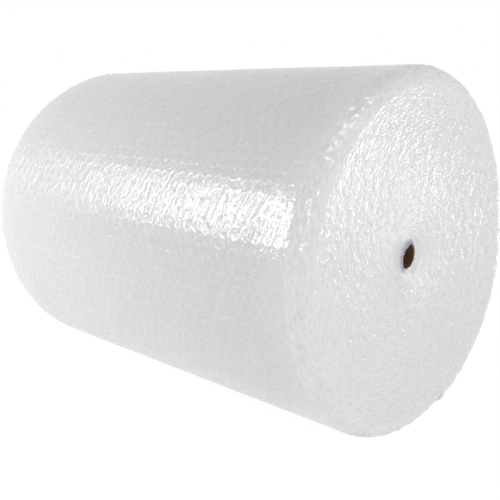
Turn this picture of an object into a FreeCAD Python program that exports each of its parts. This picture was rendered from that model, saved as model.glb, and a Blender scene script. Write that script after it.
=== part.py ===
"""A roll of bubble wrap lying on its side, wound on a cardboard tube.

The axis of the roll runs along X and the roll lies on a small flat spot, which its own
weight presses into it. The origin is on that flat spot, straight below the axis. The web
is one solid: each end shows the edges of its turns as rings, and its side shows the rows
of bubbles, which lie along the axis. All sizes are in millimetres.
"""
import FreeCAD, Part
import math
import os

# The web as it is sold and wound
web_width = 750.0
roll_diameter = 560.0
turn_pitch = 5.0
bubble_pitch = 18.8

# The tube that the web is wound on
core_bore = 38.0
core_wall = 3.0
core_setback = 4.0
winding_clearance = 0.2

# How the soft web gives: rounded rims, dished ends and the spot that it lies on
rim_radius = 28.0
dish_depth = 20.0
flat_width = 120.0

# Relief: how far a row of bubbles and a ring stand out, and what a ring stands for
row_bulge = 1.3
ring_height = 4.0
turns_per_ring = 4

# Where the loose end lies, seen along the axis and counted from straight back
tail_angle_deg = -70.0

# Worked out from the sizes above
half_width = web_width / 2
outer_radius = roll_diameter / 2
valley_radius = outer_radius - row_bulge
core_radius = core_bore / 2 + core_wall
web_bore_radius = core_radius + winding_clearance
shoulder_radius = outer_radius - rim_radius
rim_start = half_width - rim_radius
row_spacing = bubble_pitch * math.sqrt(3) / 2
row_count = round(math.pi * roll_diameter / row_spacing)
turn_count = (shoulder_radius - web_bore_radius) / turn_pitch
ring_count = max(1, round(turn_count / turns_per_ring))
ring_pitch = (shoulder_radius - web_bore_radius) / (ring_count - 0.5)
core_length = web_width - 2 * (dish_depth + core_setback)

AXIS = FreeCAD.Vector(1, 0, 0)


def spiral_point(share, lift=0.0):
    """A point on the outer turn, lift above its valleys. Share 0 is its loose end.

    The turn is two half circles. The second is smaller by half a turn's thickness, and
    its centre lies across from the first one's, so that the two meet smoothly."""
    first = share <= 0.5
    radius = valley_radius - (0 if first else turn_pitch / 2) + lift
    shift = turn_pitch / 4 if first else -turn_pitch / 4
    tail = math.radians(tail_angle_deg)
    angle = tail + 2 * math.pi * share
    y = shift * math.cos(tail) + radius * math.cos(angle)
    z = shift * math.sin(tail) + radius * math.sin(angle)
    return FreeCAD.Vector(0, y, z)


def axis_height():
    """How high the axis lies when the outer turn is pressed flat over the flat width."""
    lowest = spiral_point((-90 - tail_angle_deg) / 360 % 1, row_bulge).Length
    return math.sqrt(lowest**2 - (flat_width / 2) ** 2)


def dish_height(radius):
    """How far from the middle of the web its edge lies, for the turn at this radius."""
    share = (radius - web_bore_radius) / (shoulder_radius - web_bore_radius)
    return half_width - dish_depth * (1 - share**2)


def end_outline():
    """Points (x, radius) from the bore to the shoulder: a valley and a crest per ring."""
    points = []
    for ring in range(ring_count):
        valley = web_bore_radius + ring * ring_pitch
        depth = ring_height if ring else 0.0
        points.append((dish_height(valley) - depth, valley))
        crest = valley + ring_pitch / 2
        points.append((dish_height(crest), crest))
    return points


def rim_outline():
    """Points (x, radius) round the rim, from past the shoulder to past the side."""
    halfway = rim_radius * math.sin(math.radians(45))
    return [
        (rim_start + halfway, shoulder_radius + halfway),
        (rim_start, outer_radius),
        (rim_start, outer_radius + rim_radius),
    ]


def turned_ends():
    """A body of revolution with the dished ends and the rims, wider than the side."""
    right = end_outline() + rim_outline()
    left = [(-x, radius) for x, radius in reversed(right)]
    outline = [FreeCAD.Vector(x, 0, radius) for x, radius in right + left]
    face = Part.Face(Part.makePolygon(outline + outline[:1]))
    return face.revolve(FreeCAD.Vector(0, 0, 0), AXIS, 360)


def arc_between(start, end, lift=0.0):
    """An arc of the outer turn, from one share to another, its middle lifted."""
    middle = spiral_point((start + end) / 2, lift)
    return Part.Arc(spiral_point(start), middle, spiral_point(end)).toShape()


def drum(edges, length):
    """The inside of the outer turn, closed by the step of its loose end, drawn along X."""
    step = Part.makeLine(spiral_point(1), spiral_point(0))
    face = Part.Face(Part.Wire(edges + [step]))
    face.translate(-AXIS * (length / 2))
    return face.extrude(AXIS * length)


def plain_turn():
    return [arc_between(0, 0.5), arc_between(0.5, 1)]


def rows_of_bubbles():
    """One bulging arc for each row."""
    ends = [row / row_count for row in range(row_count + 1)]
    return [arc_between(start, end, row_bulge) for start, end in zip(ends, ends[1:])]


def bubble_wrap_web():
    body = turned_ends().common(drum(plain_turn(), web_width))
    body = body.fuse(drum(rows_of_bubbles(), 2 * rim_start))
    bore = Part.makeCylinder(web_bore_radius, web_width, -AXIS * half_width, AXIS)
    floor = Part.makeBox(web_width, roll_diameter, roll_diameter)
    floor.translate(FreeCAD.Vector(-half_width, -outer_radius, -axis_height() - roll_diameter))
    web = body.cut([bore, floor])
    web.translate(FreeCAD.Vector(0, 0, axis_height()))
    return web


def core_tube():
    """The cardboard tube. Its ends lie a little inside the web's inner turn."""
    start = FreeCAD.Vector(-core_length / 2, 0, axis_height())
    outside = Part.makeCylinder(core_radius, core_length, start, AXIS)
    inside = Part.makeCylinder(core_bore / 2, core_length, start, AXIS)
    return outside.cut(inside)


def only_solid(shape):
    """The one solid of a shape. A piece that falls apart is an error."""
    if len(shape.Solids) != 1 or not shape.isValid():
        raise ValueError(f"expected one valid solid, not {len(shape.Solids)}")
    return shape.Solids[0]


def main():
    os.makedirs("parts", exist_ok=True)
    nodes = {"bubble_wrap_web": bubble_wrap_web, "core_tube": core_tube}
    for name, build in nodes.items():
        solid = only_solid(build())
        solid.exportStep(f"parts/{name}.step")
        print(name, f"{len(solid.Faces)} faces, {solid.Volume / 1e9:.5f} cubic metres")


main()
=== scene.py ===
"""A roll of bubble wrap on its side: the wound film and the cardboard tube in its middle."""
import math

import bmesh
import bpy
import numpy as np
from bpy.props import FloatProperty, FloatVectorProperty, IntProperty, PointerProperty, StringProperty
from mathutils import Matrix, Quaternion, Vector, noise


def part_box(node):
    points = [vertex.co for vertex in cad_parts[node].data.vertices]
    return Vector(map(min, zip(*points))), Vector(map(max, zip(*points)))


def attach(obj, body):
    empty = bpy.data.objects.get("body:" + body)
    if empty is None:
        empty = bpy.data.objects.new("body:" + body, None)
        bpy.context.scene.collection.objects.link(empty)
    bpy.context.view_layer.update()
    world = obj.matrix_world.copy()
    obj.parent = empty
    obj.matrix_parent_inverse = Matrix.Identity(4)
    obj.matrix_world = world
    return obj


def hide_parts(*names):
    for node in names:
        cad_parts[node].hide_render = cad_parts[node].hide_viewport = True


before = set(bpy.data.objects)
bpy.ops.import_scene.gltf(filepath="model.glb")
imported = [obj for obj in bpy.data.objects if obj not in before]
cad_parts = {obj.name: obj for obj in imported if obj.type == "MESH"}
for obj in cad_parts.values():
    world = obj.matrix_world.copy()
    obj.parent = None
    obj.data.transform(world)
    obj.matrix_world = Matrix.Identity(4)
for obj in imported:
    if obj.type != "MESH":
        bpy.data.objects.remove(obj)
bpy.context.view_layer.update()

bl_info = {
    "name": "Bubble wrap roll",
    "version": (1, 0, 0),
    "blender": (4, 5, 0),
    "location": "3D View > Sidebar > Wrap roll",
    "description": "Builds a roll of bubble wrap, its cardboard tube and a pale stage",
    "category": "Object",
}

WEB = "bubble_wrap_web"
TUBE = "core_tube"
MM = 0.001

web_low, web_high = (Vector(corner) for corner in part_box(WEB))
tube_low, tube_high = (Vector(corner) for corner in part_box(TUBE))
axis_height = (tube_low.z + tube_high.z) / 2
half_width = web_high.x
tube_radius = (tube_high.z - tube_low.z) / 2
mean_radius = (web_high.y - web_low.y) / 2


class FilmSizes(bpy.types.PropertyGroup):
    """How the web is made and wound."""

    turn_pitch: FloatProperty(
        name="Turn pitch", description="Thickness of one turn of the wound web",
        default=5.0 * MM, unit="LENGTH")
    bubble_pitch: FloatProperty(
        name="Bubble pitch", description="From one bubble to the next along the axis",
        default=18.8 * MM, unit="LENGTH")
    row_count: IntProperty(
        name="Rows of bubbles", description="Rows round the outer turn", default=108)
    tail_angle: FloatProperty(
        name="Loose end", description="Where the loose end lies, counted from the back",
        default=math.radians(-70), subtype="ANGLE")
    pillow_height: FloatProperty(
        name="Pillow height", description="How far the film stands out over a bubble",
        default=0.25 * MM, unit="LENGTH")
    row_height: FloatProperty(
        name="Row height", description="How far a row of bubbles stands out at the rim",
        default=0.4 * MM, unit="LENGTH")
    rim_radius: FloatProperty(
        name="Rim radius", description="Rounding where the side turns into the end",
        default=28.0 * MM, unit="LENGTH")
    dish_depth: FloatProperty(
        name="Dish depth", description="How far the middle of an end lies inside its rim",
        default=20.0 * MM, unit="LENGTH")
    edge_height: FloatProperty(
        name="Edge height", description="How far a turn's film edges stand out of an end",
        default=0.2 * MM, unit="LENGTH")
    crumple: FloatProperty(
        name="Crumple", description="How far the cut edges of the film are pushed about",
        default=1.0 * MM, unit="LENGTH")
    lip_height: FloatProperty(
        name="Lip height", description="How far the inmost turns stand out round the tube",
        default=6.0 * MM, unit="LENGTH")
    sag: FloatProperty(
        name="Sag", description="How far the soft roll is out of round",
        default=1.7 * MM, unit="LENGTH")


class Finish(bpy.types.PropertyGroup):
    """Colours of the film and the card, as sRGB."""

    film: StringProperty(name="Film", description="Colour of the stacked film", default="#E2E2E2")
    outside: StringProperty(
        name="Outside", description="Colour of the outer turn between its bubbles", default="#DADADA")
    bubble: StringProperty(
        name="Bubble", description="Colour of a bubble seen through the outer turn", default="#CBCBCC")
    # Painted shade: the darker colour of the creases of an end and of the welds near the rim.
    crease_shade: StringProperty(
        name="Crease", description="Colour of an end where its film lies deep", default="#D0D0D2")
    # Painted shade: the violet-grey of the lip round the tube.
    lip: StringProperty(
        name="Lip", description="Colour of the few turns round the tube", default="#9490A6")
    card: StringProperty(name="Card", description="Colour of the tube", default="#7A5442")
    card_dark: StringProperty(
        name="Dark card", description="Colour of the tube's fibres", default="#4E3328")


def linear(hex_colour):
    """An sRGB hex colour as linear RGBA."""
    parts = [int(hex_colour[i : i + 2], 16) / 255 for i in (1, 3, 5)]
    return [c / 12.92 if c <= 0.04045 else ((c + 0.055) / 1.055) ** 2.4 for c in parts] + [1.0]


def add_node(tree, kind, sockets=None, **settings):
    """Adds a node with its settings. A socket gets another node's output, or a value."""
    made = tree.nodes.new(kind)
    for key, value in settings.items():
        setattr(made, key, value)
    for key, value in (sockets or {}).items():
        if isinstance(value, bpy.types.NodeSocket):
            tree.links.new(value, made.inputs[key])
        else:
            made.inputs[key].default_value = value
    return made


def new_material(name):
    """An empty material and its nodes."""
    made = bpy.data.materials.new(name)
    made.use_nodes = True
    made.node_tree.nodes.clear()
    return made, made.node_tree


# The section of the roll, seen along its axis

# Places in a row of bubbles where its lobe is drawn. They crowd at the welds.
PLACES_IN_ROW = (0.0, 0.1, 0.5, 0.9)
# The soft roll is out of round by three lobes and by four, as its outline in the photo shows
THREE_LOBES = (-0.7, -0.55)
FOUR_LOBES = -1.0
# How softly the section turns from its round into the flat spot on the floor
FLAT_SOFTNESS = 2.5 * MM
# Keeps a place that lies right on a weld in the cell that follows it
NUDGE = 1e-6


def shares_round(sizes):
    """Places round the outer turn, as shares of a turn from the loose end.

    The last but one is the foot of the step at the loose end, and the last closes the
    step, so the second list lifts it by a turn."""
    rows = sizes.row_count
    shares = [(row + part) / rows for row in range(rows) for part in PLACES_IN_ROW]
    lifts = [0.0] * len(shares) + [0.0, sizes.turn_pitch]
    return np.array(shares + [1.0, 1.0]), np.array(lifts)


def outer_radius(sizes, share):
    """Radius of the roll at a share of a turn. It falls by a turn's thickness in a turn."""
    at_back = -sizes.tail_angle / (2 * math.pi)
    at_middle = at_back + 0.25
    tail_radius = mean_radius + sizes.turn_pitch * at_middle
    angle = sizes.tail_angle + 2 * np.pi * share
    three = THREE_LOBES[0] * np.cos(3 * angle) + THREE_LOBES[1] * np.sin(3 * angle)
    four = FOUR_LOBES * np.sin(4 * angle)
    return tail_radius - sizes.turn_pitch * share + sizes.sag * (three + four)


def placed(sizes, x, radius, share):
    """Points of the roll, pressed flat where they would reach the floor."""
    angle = sizes.tail_angle + 2 * np.pi * share
    y = radius * np.cos(angle)
    z = axis_height + radius * np.sin(angle)
    z = (z + np.sqrt(z**2 + FLAT_SOFTNESS**2)) / 2
    return np.stack([x, y, z], axis=-1)


def way_round(share):
    """How far a share of the outer turn lies from the loose end, in metres."""
    return share * 2 * np.pi * web_high.y


def row_pitch(sizes):
    """From one row of bubbles to the next, round the outer turn."""
    return 2 * math.pi * web_high.y / sizes.row_count


# How the film lies

# A bubble is 0.8 to 1.2 of its height, and its top may slope
LEAST_BLOWN = 0.8
BLOWN_RANGE = 0.4
TOP_SLOPE = 0.9
# The outer turn rolls in slow waves
WAVE_LENGTH = 70 * MM
WAVE_HEIGHT = 0.5 * MM
# The pillows give way to plain rows this far before the rim
PILLOWS_END = 10 * MM
# The side takes on a little of the look of the cut ends from here to the rim
END_LOOK_STARTS = 60 * MM
END_LOOK_AT_RIM = 0.3


def cell_number(value):
    """A number from 0 to 1 for each whole number, the same each time."""
    return np.modf(np.abs(np.sin(value * 12.9898 + 4.137) * 43758.5453))[0]


def row_relief(sizes, share):
    """0 in the weld between two rows of bubbles and near 1 over a row."""
    across = 2 * np.modf(share * sizes.row_count + NUDGE)[0] - 1
    return 1 - np.abs(across) ** 6


def pillow_relief(sizes, x, share):
    """0 at the welds round a bubble and near 1 over it. Each second row is shifted."""
    row = np.floor(share * sizes.row_count + NUDGE)
    along = x / sizes.bubble_pitch + 0.5 * np.mod(row, 2)
    cell = np.floor(along + NUDGE)
    across = 2 * (along - cell) - 1
    up = 2 * (share * sizes.row_count - row) - 1
    blown = LEAST_BLOWN + BLOWN_RANGE * cell_number(cell * 7.31 + row * 3.17)
    lean = (cell_number(cell * 3.7 + row * 5.9) - 0.5) * across
    roll = (cell_number(cell * 9.1 + row * 1.3) - 0.5) * up
    top = blown + TOP_SLOPE * lean + TOP_SLOPE * roll
    return (1 - np.abs(across) ** 4) * top * row_relief(sizes, share)


def smooth_step(value, start, end):
    """0 up to start and 1 from end on, with a soft rise between them."""
    part = np.clip((value - start) / (end - start), 0, 1)
    return part * part * (3 - 2 * part)


def soft_noise(points, seed):
    """Noise from -1 to 1 at each point."""
    offset = Vector((seed * 17.3, seed * 5.1, seed * 9.7))
    return np.array([noise.noise(Vector(p) + offset) for p in points.reshape(-1, 3)])


# Meshes

# Points closer than this are one, and an edge shorter than the second length goes
WELD = 0.01 * MM
TINY = 0.001 * MM


def grid_mesh(name, columns, rows, shape):
    """A grid of points, columns by rows, that shape places.

    shape gets each point's column and row. It gives the point's place, its place in the
    film's own pattern in metres, and the attributes that the material reads."""
    grid = bmesh.new()
    bmesh.ops.create_grid(grid, x_segments=columns - 1, y_segments=rows - 1, size=1)
    mesh = bpy.data.meshes.new(name)
    grid.to_mesh(mesh)
    grid.free()
    flat = np.empty(len(mesh.vertices) * 3)
    mesh.vertices.foreach_get("co", flat)
    flat = flat.reshape(-1, 3)
    column = np.rint((flat[:, 0] + 1) / 2 * (columns - 1)).astype(int)
    row = np.rint((flat[:, 1] + 1) / 2 * (rows - 1)).astype(int)
    points, pattern, attributes = shape(column, row)
    mesh.vertices.foreach_set("co", points.ravel())
    loops = np.empty(len(mesh.loops), dtype=int)
    mesh.loops.foreach_get("vertex_index", loops)
    mesh.uv_layers.new(name="film")
    mesh.uv_layers["film"].data.foreach_set("uv", pattern[loops].ravel())
    for key, values in attributes.items():
        mesh.attributes.new(key, "FLOAT", "POINT").data.foreach_set("value", values)
    return mesh


def closed_up(mesh, flip=False, drop=None):
    """Welds the seams of a grid that has been bent round, and turns its faces outward.

    drop says of a face of the closing strip whether it has to go, since the turns meet."""
    welded = bmesh.new()
    welded.from_mesh(mesh)
    if drop:
        doomed = [face for face in welded.faces if drop(face)]
        bmesh.ops.delete(welded, geom=doomed, context="FACES_ONLY")
    bmesh.ops.remove_doubles(welded, verts=welded.verts, dist=WELD)
    if drop:
        bmesh.ops.holes_fill(welded, edges=welded.edges, sides=8)
    bmesh.ops.dissolve_degenerate(welded, edges=welded.edges, dist=TINY)
    if flip:
        bmesh.ops.reverse_faces(welded, faces=welded.faces)
    welded.to_mesh(mesh)
    welded.free()
    for face in mesh.polygons:
        face.use_smooth = True
    return mesh


def flat_topped(mesh):
    """Gives each point the normal of its larger faces, so that the pillows look flat."""
    sums = np.zeros((len(mesh.vertices), 3))
    for face in mesh.polygons:
        sums[list(face.vertices)] += np.array(face.normal) * face.area
    sums /= np.linalg.norm(sums, axis=1, keepdims=True)
    mesh.normals_split_custom_set_from_vertices(sums.tolist())
    return mesh


def film_piece(name, mesh, material):
    """A piece that stands for the web where it is seen."""
    piece = bpy.data.objects.new(name, mesh)
    bpy.context.collection.objects.link(piece)
    piece.data.materials.append(material)
    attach(piece, "root")
    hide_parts(WEB)
    return piece


# Places in a bubble along the axis. They crowd at the welds of both rows.
PLACES_IN_BUBBLE = (0.0, 0.08, 0.42, 0.5, 0.58, 0.92)
# The last column before the rim keeps this far from it
LEAST_GAP = 1.2 * MM


def side_columns(sizes):
    """Places along the axis where the outer turn is drawn."""
    rim_start = half_width - sizes.rim_radius
    cells = math.ceil(rim_start / sizes.bubble_pitch)
    places = [
        (cell + part) * sizes.bubble_pitch for cell in range(-cells, cells) for part in PLACES_IN_BUBBLE]
    inside = [x for x in places if abs(x) < rim_start - LEAST_GAP]
    return np.array([-rim_start] + inside + [rim_start])


def side_mesh(sizes):
    """The outer turn between the rims, its film flat over each bubble."""
    columns = side_columns(sizes)
    rim_start = columns[-1]
    shares, lifts = shares_round(sizes)

    def shape(column, row):
        x = columns[column]
        share = shares[row]
        rim = smooth_step(np.abs(x), rim_start - PILLOWS_END, rim_start)
        pillow = pillow_relief(sizes, x, share) * sizes.pillow_height
        relief = pillow * (1 - rim) + row_relief(sizes, share) * sizes.row_height * rim
        radius = outer_radius(sizes, share) + lifts[row] + relief - sizes.row_height
        points = placed(sizes, x, radius, share)
        rolling = soft_noise(points / WAVE_LENGTH, 1) * WAVE_HEIGHT * (1 - rim)
        points = placed(sizes, x, radius + rolling, share)
        pattern = np.stack([x, way_round(share)], axis=-1)
        # Painted shade in the welds between the bubbles. It shows where the side takes on the colour of
        # the ends near the rim.
        half_blown = sizes.pillow_height * 0.5
        shaded = (1 - np.clip(relief / half_blown, 0, 1)) * (1 - rim) * 0.25
        near_rim = smooth_step(np.abs(x), rim_start - END_LOOK_STARTS, rim_start)
        return points, pattern, {"shaded": shaded, "cut": END_LOOK_AT_RIM * near_rim, "lip": 0 * x}

    return flat_topped(closed_up(grid_mesh("outer_turn", len(columns), len(shares), shape)))


# The ends

COLUMNS_ROUND_RIM = 22
COLUMNS_PER_TURN = 4
# The columns go this far past the tube, so that the widest part of the roll reaches it too
SPARE_DEPTH = 8 * MM
# The end's last points stand this far off the tube and lie this far down beside it, so that
# no gap shows between the two
OFF_TUBE = 0.1 * MM
DOWN_TUBE = 7 * MM
# The edge of the bubbles' film swings from one side of its turn to the other, by the rows
BUBBLE_SPACING = 16.3 * MM
BUBBLE_SWING = 0.36
BUBBLE_EDGE = 0.17
# The crumple of the cut film grows over this much of the rim
CRUMPLE_STARTS = 8 * MM
# It is stronger by this share in the middle of the rim, where nothing holds the film
RIM_CRUMPLE = 1.5
# Lengths and shares of its fine, coarse and sideways parts
FINE_ALONG = 5 * MM
FINE_ACROSS = 4 * MM
FINE_SHARE = 0.5
COARSE_LENGTH = 12 * MM
COARSE_SHARE = 0.7
SIDEWAYS_ALONG = 9 * MM
SIDEWAYS_ACROSS = 5 * MM
SIDEWAYS_SHARE = 0.6
# The lip of the inmost turns, which is highest near the front, and the hollow behind it
LIP_TOP = 3.5 * MM
LIP_FOOT = 6 * MM
LIP_TURN = math.radians(25)
HOLLOW_WIDTH = 14 * MM
HOLLOW_DEPTH = 4 * MM


def end_steps(sizes):
    """How far in from the outer turn the points of an end lie, and how far back of it.

    Round the rim the steps follow the arc. On the end they are a quarter of a turn. The
    last number is the first of those quarters, counted from the outer turn."""
    arc = np.linspace(0, math.pi / 2, COLUMNS_ROUND_RIM)
    inward = list(sizes.rim_radius * (1 - np.cos(arc)))
    back = list(sizes.rim_radius * (1 - np.sin(arc)))
    first = math.ceil(inward[-1] / sizes.turn_pitch * COLUMNS_PER_TURN + 0.5)
    deepest = web_high.y + SPARE_DEPTH - tube_radius
    last = math.ceil(deepest / sizes.turn_pitch * COLUMNS_PER_TURN)
    steps = [k * sizes.turn_pitch / COLUMNS_PER_TURN for k in range(first, last)]
    return np.array(inward + steps), np.array(back + [0.0] * len(steps)), first


def dish(sizes, radius):
    """How far the end lies from the middle of the web at this radius."""
    shoulder = mean_radius - sizes.rim_radius
    part = np.clip((radius - tube_radius) / (shoulder - tube_radius), 0, 1)
    return half_width - sizes.dish_depth * (1 - part**2)


def along_web(sizes, step, share, radius):
    """How far along the unwound web a point of an end lies, as drawn, in metres."""
    mean_round = np.pi * (web_high.y + tube_radius)
    turns = step / sizes.turn_pitch + share + NUDGE
    turn = np.floor(turns)
    return (turns - turn) * 2 * np.pi * radius + turn * mean_round


def film_edges(column, first, along):
    """1 where the edge of a film shows in an end, 0 between them and 0.5 all over the rim."""
    on_rim = column < COLUMNS_ROUND_RIM
    in_turn = np.where(on_rim, 0, (column - COLUMNS_ROUND_RIM + first) % COLUMNS_PER_TURN)
    middle = 0.5 + BUBBLE_SWING * np.sin(np.pi * along / BUBBLE_SPACING)
    bubble = np.exp(-(((in_turn / COLUMNS_PER_TURN - middle) / BUBBLE_EDGE) ** 2))
    shown = np.where(in_turn == 0, 1.0, bubble)
    return np.where(on_rim, 0.5, shown)


def end_mesh(sizes, side):
    """One end of the roll: the edges of all its turns. Side is 1 or -1."""
    shares, lifts = shares_round(sizes)
    inward, back, first = end_steps(sizes)
    wall_radius = tube_radius + OFF_TUBE

    def shape(column, row):
        share = shares[row]
        angle = sizes.tail_angle + 2 * np.pi * share
        outer = outer_radius(sizes, share) + lifts[row] - sizes.row_height
        step = inward[column]
        lobe = row_relief(sizes, share) * sizes.row_height
        lobe = lobe * (1 - smooth_step(step, 0, sizes.rim_radius))
        radius = np.maximum(outer - step + lobe, wall_radius)
        x = dish(sizes, radius) - back[column]
        off_wall = (radius > wall_radius).astype(float)
        along = along_web(sizes, step - lifts[row], share, radius)
        film_edge = film_edges(column, first, along)

        # The crumple pushes the film out of the surface, so sideways where the rim starts and
        # along the axis on the flat of the end
        turned = np.arccos(np.clip(1 - step / sizes.rim_radius, 0, 1))
        way_in = sizes.rim_radius * turned + np.maximum(step - sizes.rim_radius, 0)
        shown = smooth_step(way_in, 0, CRUMPLE_STARTS)
        zero = np.zeros_like(along)
        fine_places = np.stack([along / FINE_ALONG, (outer - way_in) / FINE_ACROSS, zero], -1)
        fine = soft_noise(fine_places, 2) * FINE_SHARE
        coarse = soft_noise(placed(sizes, x, radius, share) / COARSE_LENGTH, 3)
        sideways_places = np.stack([along / SIDEWAYS_ALONG, radius / SIDEWAYS_ACROSS, zero], -1)
        sideways = soft_noise(sideways_places, 4)
        lift = (film_edge - 0.5) * sizes.edge_height
        lift = lift + fine * sizes.crumple + coarse * COARSE_SHARE * sizes.crumple
        lift = lift * (1 + RIM_CRUMPLE * np.sin(2 * turned))
        slip = sideways * SIDEWAYS_SHARE * sizes.crumple + lift * np.cos(turned)

        # The inmost turns stand out most at the front of the hole. They are folded in over its
        # edge, most of all at the bottom and at the very top, and unevenly elsewhere.
        near_tube = 1 - smooth_step(radius, tube_radius + LIP_TOP, tube_radius + LIP_FOOT)
        hollow = 1 - smooth_step(radius, tube_radius, tube_radius + HOLLOW_WIDTH)
        toward_front = 0.5 - 0.5 * np.cos(angle + LIP_TURN)
        bottom = 0.5 - 0.5 * np.sin(angle)
        lip = near_tube * (0.1 + 0.9 * toward_front**2) * (0.9 + 0.3 * coarse + 0.3 * fine)
        folded_in = 0.4 + 3.2 * bottom**4 + 2.5 * (1 - bottom) ** 8 + 1.6 * fine + 0.8 * sideways

        x = x + (lift * shown * np.sin(turned) + lip * sizes.lip_height) * off_wall
        x = x - hollow * (1 - toward_front) * HOLLOW_DEPTH
        x = x - DOWN_TUBE * (1 - off_wall)
        radius = radius + (slip * shown - near_tube * folded_in * MM) * off_wall
        points = placed(sizes, x * side, radius, share)
        pattern = np.stack([half_width - sizes.rim_radius + way_in, way_round(share)], axis=-1)
        # Painted shade: the film is coloured darker between its edges and where the crumple pushes it
        # in.
        shaded = np.clip(0.4 - 0.4 * film_edge - 2.0 * fine, 0, 1) * shown
        cut = END_LOOK_AT_RIM + (1 - END_LOOK_AT_RIM) * shown
        # Painted shade: the inmost turns round the tube are coloured violet-grey toward the front.
        lip_shade = near_tube * smooth_step(toward_front, 0.35, 0.7)
        return points, pattern, {"shaded": shaded, "cut": cut, "lip": lip_shade}

    def meets(face):
        """Whether a face of the closing strip lies where two turns meet."""
        rows = [loop.vert.index // len(inward) for loop in face.loops]
        columns = [loop.vert.index % len(inward) for loop in face.loops]
        return min(rows) >= len(shares) - 2 and max(columns) >= COLUMNS_ROUND_RIM

    name = "turn_edges_right" if side > 0 else "turn_edges_left"
    mesh = grid_mesh(name, len(inward), len(shares), shape)
    return closed_up(mesh, flip=side < 0, drop=meets)


# Materials

# Sizes of the film's patterns. Real folds, grain and crumple are finer. They are drawn as
# coarse as they need to be to show in the render.
FLAT_TOP = 5 * MM
BUBBLE_FOOT = 11 * MM
DRIFT_LENGTH = 33.33 * MM
DRIFT = 6 * MM
PATCH_LENGTH = 22.22 * MM
NIB_SPACING = 9.09 * MM
FOLD_WIDTH = 5.2 * MM
FOLD_LENGTH = 29 * MM
FOLD_SLANT = math.radians(18)
GRAIN_LENGTH = 3.03 * MM
CRUMPLE_WIDTH = 5.263 * MM
CRUMPLE_LENGTH = 10 * MM
# Sizes of the card's patterns
FIBRE_LENGTH = 3.846 * MM
STAIN_LENGTH = 25 * MM


def bubble_distance(tree, pattern, sizes):
    """How far a point of the film lies from the middle of the nearest bubble, in metres.

    Every second row is shifted by half a bubble, so there are two lattices."""
    two_rows = 2 * row_pitch(sizes)
    lengths = []
    for shift in ((0, 0.25, 0), (0.5, 0.75, 0)):
        counted = add_node(tree, "ShaderNodeMapping", {
            "Vector": pattern, "Location": shift, "Scale": (1 / sizes.bubble_pitch, 1 / two_rows, 0)})
        part = add_node(tree, "ShaderNodeVectorMath", {0: counted.outputs[0]}, operation="FRACTION")
        offset = add_node(tree, "ShaderNodeMapping", {
            "Vector": part.outputs[0], "Location": (-sizes.bubble_pitch / 2, -two_rows / 2, 0),
            "Scale": (sizes.bubble_pitch, two_rows, 0)})
        length = add_node(tree, "ShaderNodeVectorMath", {0: offset.outputs[0]}, operation="LENGTH")
        lengths.append(length.outputs["Value"])
    nearest = add_node(tree, "ShaderNodeMath", {0: lengths[0], 1: lengths[1]}, operation="MINIMUM")
    return nearest.outputs[0]


def bubble_tops(tree, pattern, sizes):
    """1 on a bubble and 0 beside it, uneven as the wrap presses some bubbles flatter."""
    drift = add_node(tree, "ShaderNodeTexNoise", {
        "Vector": pattern, "Scale": 1 / DRIFT_LENGTH, "Detail": 1.0})
    drifted = add_node(tree, "ShaderNodeVectorMath", {
        0: drift.outputs["Color"], 1: (DRIFT, DRIFT, 0), 2: pattern}, operation="MULTIPLY_ADD")
    top = add_node(tree, "ShaderNodeMapRange", {
        "Value": bubble_distance(tree, drifted.outputs[0], sizes),
        "From Min": FLAT_TOP, "From Max": BUBBLE_FOOT, "To Min": 1.0, "To Max": 0.0},
        interpolation_type="SMOOTHSTEP")
    patchy = add_node(tree, "ShaderNodeTexNoise", {
        "Vector": pattern, "Scale": 1 / PATCH_LENGTH, "Detail": 1.0})
    blown = add_node(tree, "ShaderNodeMath", {0: top.outputs[0], 1: patchy.outputs[0]},
                     operation="MULTIPLY")
    return blown.outputs[0]


def side_relief(tree, pattern, blown, grain):
    """The film of the outer turn in millimetres: low bubbles, small nibs, slanting folds, grain."""
    spots = add_node(tree, "ShaderNodeTexNoise", {
        "Vector": pattern, "Scale": 1 / NIB_SPACING, "Detail": 1.0})
    nibs = add_node(tree, "ShaderNodeMapRange", {
        "Value": spots.outputs[0], "From Min": 0.64, "From Max": 0.74, "To Min": 0.0, "To Max": 1.0})
    raised = add_node(tree, "ShaderNodeMath", {0: blown, 1: 0.5, 2: nibs.outputs[0]},
                      operation="MULTIPLY_ADD")
    stretch = add_node(tree, "ShaderNodeMapping", {
        "Vector": pattern, "Rotation": (0, 0, FOLD_SLANT), "Scale": (FOLD_WIDTH, FOLD_LENGTH, 1)},
        vector_type="TEXTURE")
    folds = add_node(tree, "ShaderNodeTexNoise", {
        "Vector": stretch.outputs[0], "Scale": 1.0, "Detail": 1.5, "Distortion": 0.8})
    folded = add_node(tree, "ShaderNodeMath", {0: folds.outputs[0], 1: 1.3, 2: raised.outputs[0]},
                      operation="MULTIPLY_ADD")
    wrinkled = add_node(tree, "ShaderNodeMath", {0: grain, 1: 0.35, 2: folded.outputs[0]},
                        operation="MULTIPLY_ADD")
    return wrinkled.outputs[0]


def end_relief(tree, pattern):
    """The crumple of the cut film in millimetres, longer along a turn than across it."""
    squeezed = add_node(tree, "ShaderNodeMapping", {
        "Vector": pattern, "Scale": (1 / CRUMPLE_WIDTH, 1 / CRUMPLE_LENGTH, 1)})
    crumple = add_node(tree, "ShaderNodeTexNoise", {
        "Vector": squeezed.outputs[0], "Scale": 1.0, "Detail": 2.0})
    crushed = add_node(tree, "ShaderNodeMath", {0: crumple.outputs[0], 1: 1.5}, operation="MULTIPLY")
    return crushed.outputs[0]


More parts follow.
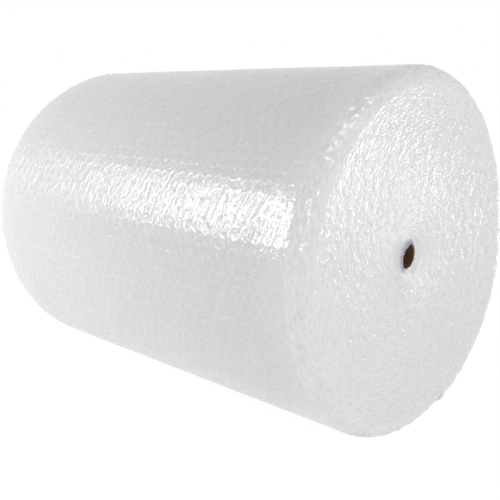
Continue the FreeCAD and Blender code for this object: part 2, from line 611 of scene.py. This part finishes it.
def film_colour(tree, finish, blown, grain):
    """Greyer over the bubbles of the side. The creases of the ends and the lip round the tube are darker
    with painted shade.
    """
    shaded = add_node(tree, "ShaderNodeAttribute", attribute_name="shaded").outputs["Fac"]
    cut = add_node(tree, "ShaderNodeAttribute", attribute_name="cut").outputs["Fac"]
    lip = add_node(tree, "ShaderNodeAttribute", attribute_name="lip").outputs["Fac"]
    speckle = add_node(tree, "ShaderNodeMapRange", {
        "Value": grain, "From Min": 0.3, "From Max": 0.7, "To Min": 0.0, "To Max": 1.1})
    seen = add_node(tree, "ShaderNodeMath", {0: blown, 1: 0.9, 2: speckle.outputs[0]},
                    operation="MULTIPLY_ADD")
    on_side = add_node(tree, "ShaderNodeMix", {
        0: seen.outputs[0], 6: linear(finish.outside), 7: linear(finish.bubble)}, data_type="RGBA")
    # Painted shade in the creases of the ends
    on_end = add_node(tree, "ShaderNodeMix", {
        0: shaded, 6: linear(finish.film), 7: linear(finish.crease_shade)}, data_type="RGBA")
    stacked = add_node(tree, "ShaderNodeMix", {0: cut, 6: on_side.outputs[2], 7: on_end.outputs[2]},
                       data_type="RGBA")
    # Painted shade on the lip round the tube
    colour = add_node(tree, "ShaderNodeMix", {0: lip, 6: stacked.outputs[2], 7: linear(finish.lip)},
                      data_type="RGBA")
    return colour.outputs[2]


def film_material(finish, sizes):
    """Blown polyethylene film: clear and glossy, and milky where many turns are stacked.

    The outer turn is wrapped tight over its bubbles. They show through it as faint rounds,
    and the fine folds between them break up a reflection. On the ends the cut film is
    crumpled, so that it glitters. The milky stack under the gloss is the matt base, and the
    film's own shine is the coat."""
    made, tree = new_material("polyethylene_film")
    pattern = add_node(tree, "ShaderNodeUVMap", uv_map="film").outputs["UV"]
    where = add_node(tree, "ShaderNodeTexCoord").outputs["Object"]
    cut = add_node(tree, "ShaderNodeAttribute", attribute_name="cut").outputs["Fac"]
    blown = bubble_tops(tree, pattern, sizes)
    grain = add_node(tree, "ShaderNodeTexNoise", {
        "Vector": where, "Scale": 1 / GRAIN_LENGTH, "Detail": 2.0}).outputs[0]
    height = add_node(tree, "ShaderNodeMix", {
        0: cut, 2: side_relief(tree, pattern, blown, grain), 3: end_relief(tree, pattern)},
        data_type="FLOAT").outputs[0]
    inner = add_node(tree, "ShaderNodeBump", {"Height": height, "Strength": 0.4, "Distance": 1 * MM})
    outer = add_node(tree, "ShaderNodeBump", {"Height": height, "Strength": 1.0, "Distance": 1 * MM})
    shader = add_node(tree, "ShaderNodeBsdfPrincipled", {
        "Base Color": film_colour(tree, finish, blown, grain),
        "Normal": inner.outputs[0], "Coat Normal": outer.outputs[0],
        "Roughness": 0.5, "IOR": 1.51, "Specular IOR Level": 0.0,
        "Coat Weight": 1.0, "Coat Roughness": 0.1, "Coat IOR": 1.8})
    add_node(tree, "ShaderNodeOutputMaterial", {"Surface": shader.outputs[0]})
    return made


def card_material(finish):
    """Spirally wound grey-brown board: matt, with fibres and darker stains."""
    made, tree = new_material("wound_cardboard")
    where = add_node(tree, "ShaderNodeTexCoord").outputs["Object"]
    fibres = add_node(tree, "ShaderNodeTexNoise", {
        "Vector": where, "Scale": 1 / FIBRE_LENGTH, "Detail": 5.0, "Roughness": 0.7})
    stains = add_node(tree, "ShaderNodeTexNoise", {
        "Vector": where, "Scale": 1 / STAIN_LENGTH, "Detail": 1.0})
    share = add_node(tree, "ShaderNodeMix", {0: 0.6, 2: fibres.outputs[0], 3: stains.outputs[0]},
                     data_type="FLOAT")
    worn = add_node(tree, "ShaderNodeMapRange", {
        "Value": share.outputs[0], "From Min": 0.35, "From Max": 0.65})
    colour = add_node(tree, "ShaderNodeMix", {
        0: worn.outputs[0], 6: linear(finish.card), 7: linear(finish.card_dark)}, data_type="RGBA")
    bump = add_node(tree, "ShaderNodeBump", {
        "Height": fibres.outputs[0], "Strength": 0.3, "Distance": 0.3 * MM})
    shader = add_node(tree, "ShaderNodeBsdfPrincipled", {
        "Base Color": colour.outputs[2], "Normal": bump.outputs[0], "Roughness": 0.9})
    add_node(tree, "ShaderNodeOutputMaterial", {"Surface": shader.outputs[0]})
    return made


# Stage

SENSOR_WIDTH = 36.0
FLOOR_HALF_SIZE = 20.0
FLOOR_WHITE = "#EDEDED"
PURE_WHITE = "#FFFFFF"
# How much of the floor the camera sees as a plain white glow, and how strong that is. The
# rest is lit, and keeps the roll's shadow.
PLAIN_SHARE = 0.85
GLOW = 1.06
END_MIDDLE = (half_width, 0, 0)
# Each lamp's name, its place and what it faces, from the middle of the roll's axis, its
# width and height, its power in watts, what it gives and how far it is turned in degrees.
# The ones that give gloss are seen in the film and light nothing else.
LAMPS = (
    ("window", (-1.36, -1.79, 0.77), (0, 0, 0), (0.62, 1.1), 15.5, "gloss", 15),
    ("sparkle", (0.62, 1.27, -0.15), END_MIDDLE, (0.24, 0.24), 0.9, "gloss", 0),
    ("front_sparkle", (1.10, -0.75, 0.40), END_MIDDLE, (0.22, 0.22), 0.9, "gloss", 0),
    ("rim_sparkle", (1.14, -0.13, 1.15), (0.36, -0.2, 0.18), (0.85, 0.2), 2.2, "gloss", -51),
    ("left_fill", (-0.80, -0.55, 0.75), (-0.4, 0, 0), (0.6, 0.6), 2.2, "shading", 0),
    ("side_fill", (-0.40, -0.80, 0.05), (-0.3, 0, 0), (0.5, 0.5), 1.3, "shading", 0),
    ("front_fill", (1.10, -0.75, 0.40), END_MIDDLE, (0.5, 0.4), 1.7, "shading", 0),
    ("back_fill", (1.25, 0.90, 0.20), END_MIDDLE, (0.5, 0.5), 1.4, "shading", 0),
)


def area_light(name, place, target, size, power, gives, turn):
    """A soft lamp. It gives shading, or gloss, which is its own reflection."""
    data = bpy.data.lights.new(name, "AREA")
    data.shape = "RECTANGLE"
    data.size, data.size_y = size
    data.energy = power
    lamp = bpy.data.objects.new(name, data)
    bpy.context.collection.objects.link(lamp)
    lamp.location = place
    facing = (target - place).to_track_quat("-Z", "Y")
    lamp.rotation_euler = (facing @ Quaternion((0, 0, 1), turn)).to_euler()
    lamp.visible_glossy = gives == "gloss"
    lamp.visible_diffuse = gives == "shading"
    return lamp


def background_rays(tree):
    """1 for a ray that shows the background: the camera's own, or one off gloss or through glass."""
    rays = add_node(tree, "ShaderNodeLightPath")
    outside = add_node(tree, "ShaderNodeMath", {
        0: rays.outputs["Is Camera Ray"], 1: rays.outputs["Is Glossy Ray"]}, operation="MAXIMUM")
    every = add_node(tree, "ShaderNodeMath", {
        0: outside.outputs[0], 1: rays.outputs["Is Transmission Ray"]}, operation="MAXIMUM")
    return every.outputs[0]


def plain_world(at_horizon, at_top):
    """A white studio, lit differently at the horizon and above. The camera sees plain white."""
    world = bpy.data.worlds.new("white_studio")
    world.use_nodes = True
    tree = world.node_tree
    tree.nodes.clear()
    where = add_node(tree, "ShaderNodeTexCoord")
    parts = add_node(tree, "ShaderNodeSeparateXYZ", {0: where.outputs["Generated"]})
    ramp = add_node(tree, "ShaderNodeMix", {0: parts.outputs["Z"], 2: at_horizon, 3: at_top},
                    data_type="FLOAT")
    level = add_node(tree, "ShaderNodeMix", {0: background_rays(tree), 2: ramp.outputs[0], 3: 1.0},
                     data_type="FLOAT")
    glow = add_node(tree, "ShaderNodeBackground", {
        "Strength": level.outputs[0], "Color": linear(PURE_WHITE)})
    add_node(tree, "ShaderNodeOutputWorld", {"Surface": glow.outputs[0]})
    bpy.context.scene.world = world


def floor_material(lit):
    """A lit white sweep that the camera sees as white, with a faint shadow under the roll."""
    made, tree = new_material("white_sweep")
    matt = add_node(tree, "ShaderNodeBsdfDiffuse", {"Color": linear(FLOOR_WHITE)})
    glow = add_node(tree, "ShaderNodeEmission", {"Color": linear(PURE_WHITE), "Strength": GLOW})
    share = add_node(tree, "ShaderNodeMath", {0: background_rays(tree), 1: PLAIN_SHARE},
                     operation="MULTIPLY")
    table = add_node(tree, "ShaderNodeEmission", {"Color": linear(PURE_WHITE), "Strength": lit})
    both = add_node(tree, "ShaderNodeAddShader", {0: matt.outputs[0], 1: table.outputs[0]})
    mixed = add_node(tree, "ShaderNodeMixShader", {
        0: share.outputs[0], 1: both.outputs[0], 2: glow.outputs[0]})
    add_node(tree, "ShaderNodeOutputMaterial", {"Surface": mixed.outputs[0]})
    return made


def white_floor(lit):
    """The floor that the roll lies on, wide enough to fill every view."""
    mesh = bpy.data.meshes.new("floor")
    sweep = bmesh.new()
    bmesh.ops.create_grid(sweep, x_segments=1, y_segments=1, size=FLOOR_HALF_SIZE)
    sweep.to_mesh(mesh)
    sweep.free()
    floor = bpy.data.objects.new("floor", mesh)
    floor.data.materials.append(floor_material(lit))
    bpy.context.collection.objects.link(floor)


def photo_camera(settings, middle):
    """A camera where the photo was taken from."""
    data = bpy.data.cameras.new("camera")
    data.lens = settings.lens
    data.sensor_width = SENSOR_WIDTH
    data.sensor_fit = "HORIZONTAL"
    data.clip_end = 100.0
    camera = bpy.data.objects.new("camera", data)
    bpy.context.collection.objects.link(camera)
    camera.location = middle + Vector(settings.place)
    look = Vector((math.cos(settings.tilt) * math.cos(settings.heading),
                   math.cos(settings.tilt) * math.sin(settings.heading),
                   math.sin(settings.tilt)))
    camera.rotation_euler = look.to_track_quat("-Z", "Y").to_euler()
    return camera


class StageSettings(bpy.types.PropertyGroup):
    """The camera of the photo and the light round the roll."""

    place: FloatVectorProperty(
        name="Camera place", description="Camera from the middle of the roll's axis",
        default=(0.9281, -0.9402, 0.2390), subtype="TRANSLATION", unit="LENGTH")
    heading: FloatProperty(
        name="Heading", description="Where the camera looks, counted from the roll's axis",
        default=math.radians(133.85), subtype="ANGLE")
    tilt: FloatProperty(
        name="Tilt", description="How far the camera looks down",
        default=math.radians(-12.03), subtype="ANGLE")
    lens: FloatProperty(name="Lens", description="Focal length in millimetres", default=52.94)
    horizon: FloatProperty(
        name="Horizon", description="Strength of the even light from the sides", default=1.05)
    overhead: FloatProperty(
        name="Overhead", description="Strength of the even light from above", default=0.39)
    table: FloatProperty(
        name="Table", description="Strength of the light from the floor", default=0.227)


class ROLL_OT_outer_turn(bpy.types.Operator):
    """Makes the outer turn of the web, from rim to rim"""

    bl_idname = "roll.outer_turn"
    bl_label = "Outer turn"

    def execute(self, context):
        sizes = context.scene.film_sizes
        film_piece("outer_turn", side_mesh(sizes), film_material(context.scene.finish, sizes))
        return {"FINISHED"}


class ROLL_OT_turn_edges(bpy.types.Operator):
    """Makes both ends of the roll, where the edges of its turns show"""

    bl_idname = "roll.turn_edges"
    bl_label = "Turn edges"

    def execute(self, context):
        sizes = context.scene.film_sizes
        material = film_material(context.scene.finish, sizes)
        film_piece("turn_edges_right", end_mesh(sizes, 1), material)
        film_piece("turn_edges_left", end_mesh(sizes, -1), material)
        return {"FINISHED"}


class ROLL_OT_core_tube(bpy.types.Operator):
    """Gives the tube its board"""

    bl_idname = "roll.core_tube"
    bl_label = "Core tube"

    def execute(self, context):
        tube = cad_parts[TUBE]
        tube.data.materials.clear()
        tube.data.materials.append(card_material(context.scene.finish))
        return {"FINISHED"}


class ROLL_OT_stage(bpy.types.Operator):
    """Makes the floor, the lights and the camera"""

    bl_idname = "roll.stage"
    bl_label = "Stage"

    def execute(self, context):
        scene = context.scene
        settings = scene.stage_settings
        middle = Vector((0, 0, axis_height))
        white_floor(settings.table)
        plain_world(settings.horizon, settings.overhead)
        for name, place, target, size, power, gives, turn in LAMPS:
            area_light(name, middle + Vector(place), middle + Vector(target), size, power, gives,
                       math.radians(turn))
        scene.camera = photo_camera(settings, middle)
        scene.view_settings.view_transform = "Standard"
        return {"FINISHED"}


class ROLL_PT_panel(bpy.types.Panel):
    """Sizes, colours and steps of the roll"""

    bl_idname = "ROLL_PT_panel"
    bl_label = "Bubble wrap roll"
    bl_space_type = "VIEW_3D"
    bl_region_type = "UI"
    bl_category = "Wrap roll"

    def draw(self, context):
        layout = self.layout
        for group in (context.scene.film_sizes, context.scene.finish, context.scene.stage_settings):
            for name in group.bl_rna.properties.keys():
                if name not in ("rna_type", "name"):
                    layout.prop(group, name)
        for step in STEPS:
            layout.operator(step.bl_idname)


GROUPS = {"film_sizes": FilmSizes, "finish": Finish, "stage_settings": StageSettings}
STEPS = (ROLL_OT_outer_turn, ROLL_OT_turn_edges, ROLL_OT_core_tube, ROLL_OT_stage)


def register():
    for group in GROUPS.values():
        bpy.utils.register_class(group)
    for step in STEPS + (ROLL_PT_panel,):
        bpy.utils.register_class(step)
    for name, group in GROUPS.items():
        setattr(bpy.types.Scene, name, PointerProperty(type=group))


def unregister():
    for name in GROUPS:
        delattr(bpy.types.Scene, name)
    for step in reversed(STEPS + (ROLL_PT_panel,)):
        bpy.utils.unregister_class(step)
    for group in reversed(GROUPS.values()):
        bpy.utils.unregister_class(group)


def main():
    """Makes the roll and its stage, and keeps the sizes of both models."""
    register()
    bpy.ops.roll.outer_turn()
    bpy.ops.roll.turn_edges()
    bpy.ops.roll.core_tube()
    bpy.ops.roll.stage()


if __name__ == "__main__":
    main()
